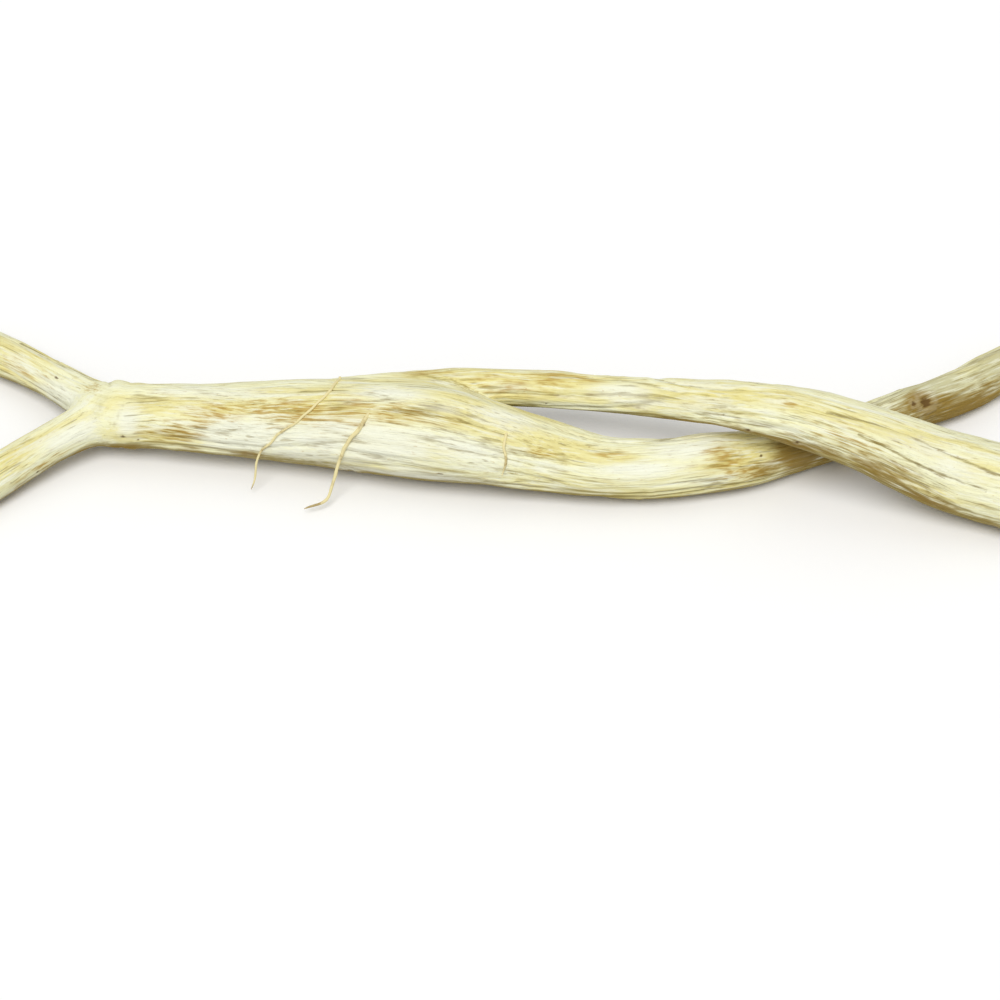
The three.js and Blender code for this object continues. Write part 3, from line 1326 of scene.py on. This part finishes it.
def line_noise(along, length, row, seed):
    """Noise along a line, in waves of about that length. Each row has its own."""
    rows = np.full(len(along), row)
    return gradient_noise(np.column_stack([along / length, rows, along * 0]), seed)


def wavy_line(line, along, waviness, seed):
    """The line, straying from its course in long and short waves."""
    strayed = line.copy()
    for axis in range(3):
        for length, share in HAIR_WAVES:
            wave = line_noise(along, length, axis + 0.5, seed)
            strayed[:, axis] += share * waviness / MM * wave
    return strayed


def clinging_line(line, along, bark, radius, reach):
    """The line, with its stretches near the bark or under it laid on it. It starts inside."""
    laid = []
    lifts = radius * between(*HAIR_LIFTS, smoothstep(0, HAIR_SINK, along))
    for point, lift in zip(line, lifts):
        spot, normal, _, _ = bark.find_nearest(Vector(point * MM))
        height = (Vector(point * MM) - spot).dot(normal)
        if height < reach:
            point = np.array(spot + normal * lift * MM) / MM
        laid.append(point)
    margin = HAIR_SMOOTHING // 2
    padded = np.pad(laid, ((margin, margin), (0, 0)), "edge")
    window = np.ones(HAIR_SMOOTHING) / HAIR_SMOOTHING
    return np.stack([np.convolve(column, window, "valid") for column in padded.T], axis=1)


def hair_radii(along, thick, thin, seed):
    """The radius along a hair root, which swells into knots and ends in a blunt point."""
    knots = 1 + HAIR_KNOT_SWELLING * line_noise(along, HAIR_KNOT_LENGTH, 0, seed)
    section = np.clip((along[-1] - along) / HAIR_TIP, HAIR_TIP_SHARE, 1)
    return between(thick, thin, along / along[-1]) * knots * np.sqrt(section)


def hair_mesh(line, radii):
    """A closed tube along the line, whose sections turn with it without twisting."""
    tangents = unit(np.gradient(line, axis=0))
    normal = np.cross(tangents[0], UP)
    normals = np.empty_like(tangents)
    for i, tangent in enumerate(tangents):
        normal = unit(normal - (normal @ tangent) * tangent)
        normals[i] = normal
    binormals = np.cross(normals, tangents)
    mesh = tube_mesh("hair_root", line, radii, normals, binormals, HAIR_SIDES, MM)
    mesh.shade_smooth()
    return mesh


def bark_tree(piece):
    """The bark as a tree that finds its nearest point."""
    places = [vertex.co.copy() for vertex in piece.data.vertices]
    faces = [tuple(face.vertices) for face in piece.data.polygons]
    return BVHTree.FromPolygons(places, faces)


# ---- Pieces ----


def add_piece(name, mesh, material):
    mesh.materials.append(material)
    piece = bpy.data.objects.new(name, mesh)
    bpy.context.scene.collection.objects.link(piece)
    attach(piece, BODY)
    return piece


class MESH_OT_astragalus_bark(bpy.types.Operator):
    """Build the bark of the whole root, with its cut tips"""

    bl_idname = "mesh.astragalus_bark"
    bl_label = "Astragalus Bark"

    def execute(self, context):
        settings = context.scene.astragalus_bark
        mesh = bark_mesh(settings)
        mesh.name = "astragalus_bark"
        bark = add_piece("astragalus_bark", mesh, bark_material(settings))
        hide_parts(CAD_NODE)
        return {"FINISHED"}


class MESH_OT_hair_roots(bpy.types.Operator):
    """Build the hair roots that cling to the bark"""

    bl_idname = "mesh.hair_roots"
    bl_label = "Hair Roots"

    def execute(self, context):
        settings = context.scene.hair_roots
        bark = context.scene.objects.get("astragalus_bark")
        if bark is None:
            raise RuntimeError("Build the bark before its hair roots")
        tree = bark_tree(bark)
        material = hair_material(settings)
        for number, (route, thick, thin) in enumerate(HAIR_ROOTS, 1):
            line, along = smooth_line(route, HAIR_STEP)
            line = wavy_line(line, along, settings.waviness, HAIR_WAVE_SEED + number)
            line = clinging_line(line, along, tree, thick, settings.cling_height)
            radii = hair_radii(along, thick, thin, HAIR_KNOT_SEED + number)
            add_piece(f"hair_root_{number}", hair_mesh(line, radii), material)
        return {"FINISHED"}


# ---- Stage ----


def floor_material(settings):
    """The camera sees a white floor, and the root gets a little less light back from it."""
    shader = Shader(bpy.data.materials.new("white_floor"))
    grey = [settings.floor_albedo] * 3
    colour = shader.mix(shader.seen_directly(), grey, (1, 1, 1))
    shader.feed(shader.surface.inputs["Base Color"], colour)
    shader.surface.inputs["Roughness"].default_value = 1
    shader.surface.inputs["Specular IOR Level"].default_value = 0
    return shader.owner


def add_floor(settings):
    half = settings.floor_size / 2
    corners = np.array([(-half, -half, 0), (half, -half, 0), (half, half, 0), (-half, half, 0)])
    mesh = mesh_from("floor", corners, [(0, 1, 2, 3)])
    mesh.materials.append(floor_material(settings))
    floor = bpy.data.objects.new("floor", mesh)
    bpy.context.scene.collection.objects.link(floor)


def add_sky(settings):
    """Even light from all round, which shows white behind the floor."""
    shader = Shader(bpy.data.worlds.new("studio"), "Background")
    strength = settings.sky_strength + (1 - settings.sky_strength) * shader.seen_directly()
    shader.feed(shader.surface.inputs["Color"], (1, 1, 1))
    shader.feed(shader.surface.inputs["Strength"], strength)
    bpy.context.scene.world = shader.owner


def direction(turn, height):
    """The way from the root towards something, which is turned from its front and raised."""
    level = math.cos(height)
    return Vector((math.sin(turn) * level, -math.cos(turn) * level, math.sin(height)))


def add_facing(name, data, aim, towards, distance):
    """Adds a lamp or a camera at that distance from its aim, which it faces."""
    added = bpy.data.objects.new(name, data)
    added.location = aim + towards * distance
    added.rotation_euler = towards.to_track_quat("Z", "Y").to_euler()
    bpy.context.scene.collection.objects.link(added)
    return added


def add_key_light(settings):
    lamp = bpy.data.lights.new("key", "SUN")
    lamp.energy = settings.key_strength
    lamp.angle = settings.key_softness
    towards = direction(settings.key_turn, settings.key_height)
    add_facing("key", lamp, Vector((0, 0, 0)), towards, 1)


def add_camera(settings):
    low, high = CAD_BOX
    middle = (low + high) / 2
    aim = Vector((middle.x, middle.y - settings.camera_aim, 0))
    towards = direction(0, settings.camera_height)
    view = bpy.data.cameras.new("camera")
    view.lens = settings.lens
    view.sensor_width = SENSOR_WIDTH
    view.clip_end = SIGHT_END
    camera = add_facing("camera", view, aim, towards, settings.camera_distance)
    bpy.context.scene.camera = camera


class SCENE_OT_root_stage(bpy.types.Operator):
    """Build the floor, the light and the camera"""

    bl_idname = "scene.root_stage"
    bl_label = "Root Stage"

    def execute(self, context):
        settings = context.scene.root_stage
        add_floor(settings)
        add_sky(settings)
        add_key_light(settings)
        add_camera(settings)
        context.scene.view_settings.view_transform = "Standard"
        return {"FINISHED"}


class VIEW3D_PT_astragalus_root(bpy.types.Panel):
    """The pieces of the root and the stage, with what can be changed"""

    bl_label = "Astragalus Root"
    bl_space_type = "VIEW_3D"
    bl_region_type = "UI"
    bl_category = "Astragalus Root"

    def draw(self, context):
        for name, _, operator in GROUPS:
            box = self.layout.box()
            box.operator(operator.bl_idname)
            settings = getattr(context.scene, name)
            for setting in settings.bl_rna.properties.keys():
                if setting not in ("rna_type", "name"):
                    box.prop(settings, setting)


# Each group of settings: its name in the scene, its class, and the operator that reads it.
GROUPS = [
    ("root_stage", StageSettings, SCENE_OT_root_stage),
    ("astragalus_bark", BarkSettings, MESH_OT_astragalus_bark),
    ("hair_roots", HairSettings, MESH_OT_hair_roots),
]


def register():
    for name, settings, operator in GROUPS:
        bpy.utils.register_class(settings)
        bpy.utils.register_class(operator)
        setattr(bpy.types.Scene, name, PointerProperty(type=settings))
    bpy.utils.register_class(VIEW3D_PT_astragalus_root)


def unregister():
    bpy.utils.unregister_class(VIEW3D_PT_astragalus_root)
    for name, settings, operator in reversed(GROUPS):
        delattr(bpy.types.Scene, name)
        bpy.utils.unregister_class(operator)
        bpy.utils.unregister_class(settings)


def main():
    register()
    bpy.ops.scene.root_stage()
    bpy.ops.mesh.astragalus_bark()
    bpy.ops.mesh.hair_roots()


if __name__ == "__main__":
    main()
